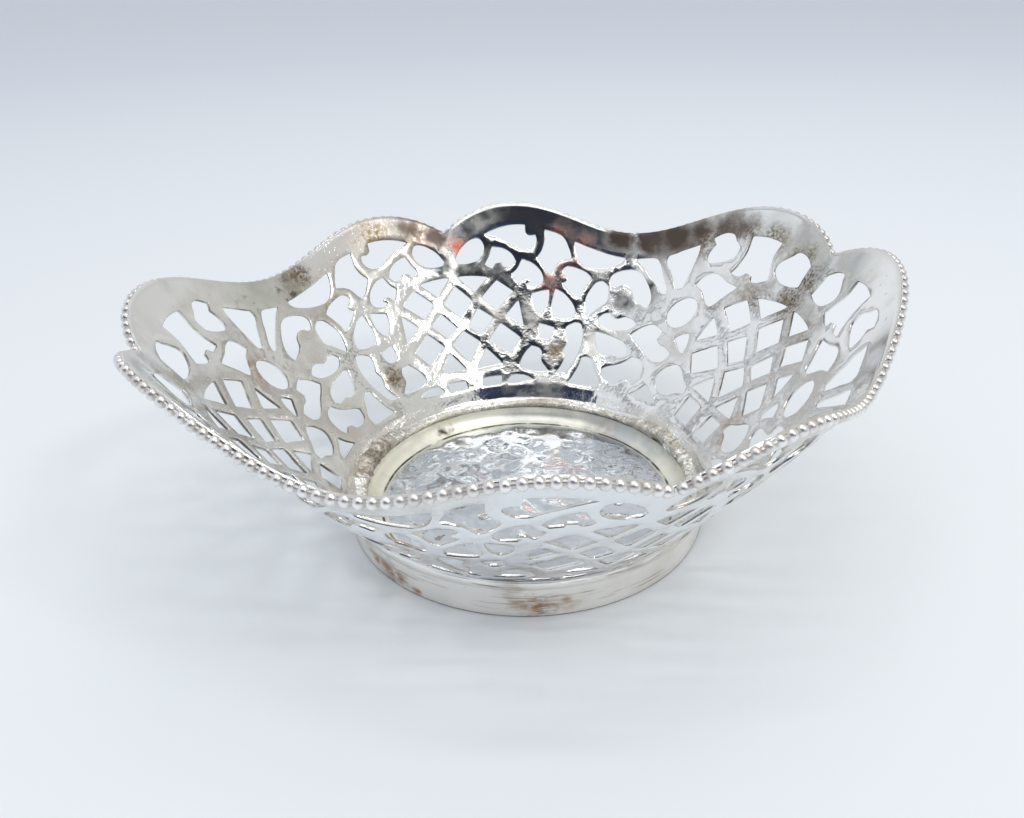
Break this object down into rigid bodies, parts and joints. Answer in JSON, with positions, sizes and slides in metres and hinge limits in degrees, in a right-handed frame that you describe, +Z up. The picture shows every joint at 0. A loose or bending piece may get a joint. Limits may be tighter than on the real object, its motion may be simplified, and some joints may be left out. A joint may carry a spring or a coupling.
{
  "type": "pierced bonbon dish",
  "caption": "Small oval footed dish with a lobed rim, pierced scroll and lattice sides, beaded edges, a let-in flat base and a collar foot.",
  "frame": {"origin": "middle of the foot, on the surface that the dish stands on", "axes": "+Z up; +X along the long axis, through two of the rim's four notches; +Y across, through the other two"},
  "size_m": [0.1332, 0.12, 0.0481],
  "materials": {
    "body_silver": "polished old silver with light tarnish",
    "base_silver": "polished old silver, yellowed in the cove, with a rough solder line",
    "foot_silver": "polished old silver with fine scratches and brown tarnish",
    "bead_silver": "bright polished silver"
  },
  "bodies": {
    "root": {"pierced_body": "body_silver", "base_plate": "base_silver", "collar_foot": "foot_silver", "beaded_wire_back_right": "bead_silver", "beaded_wire_back_left": "bead_silver", "beaded_wire_front_left": "bead_silver", "beaded_wire_front_right": "bead_silver"}
  },
  "joints": []
}
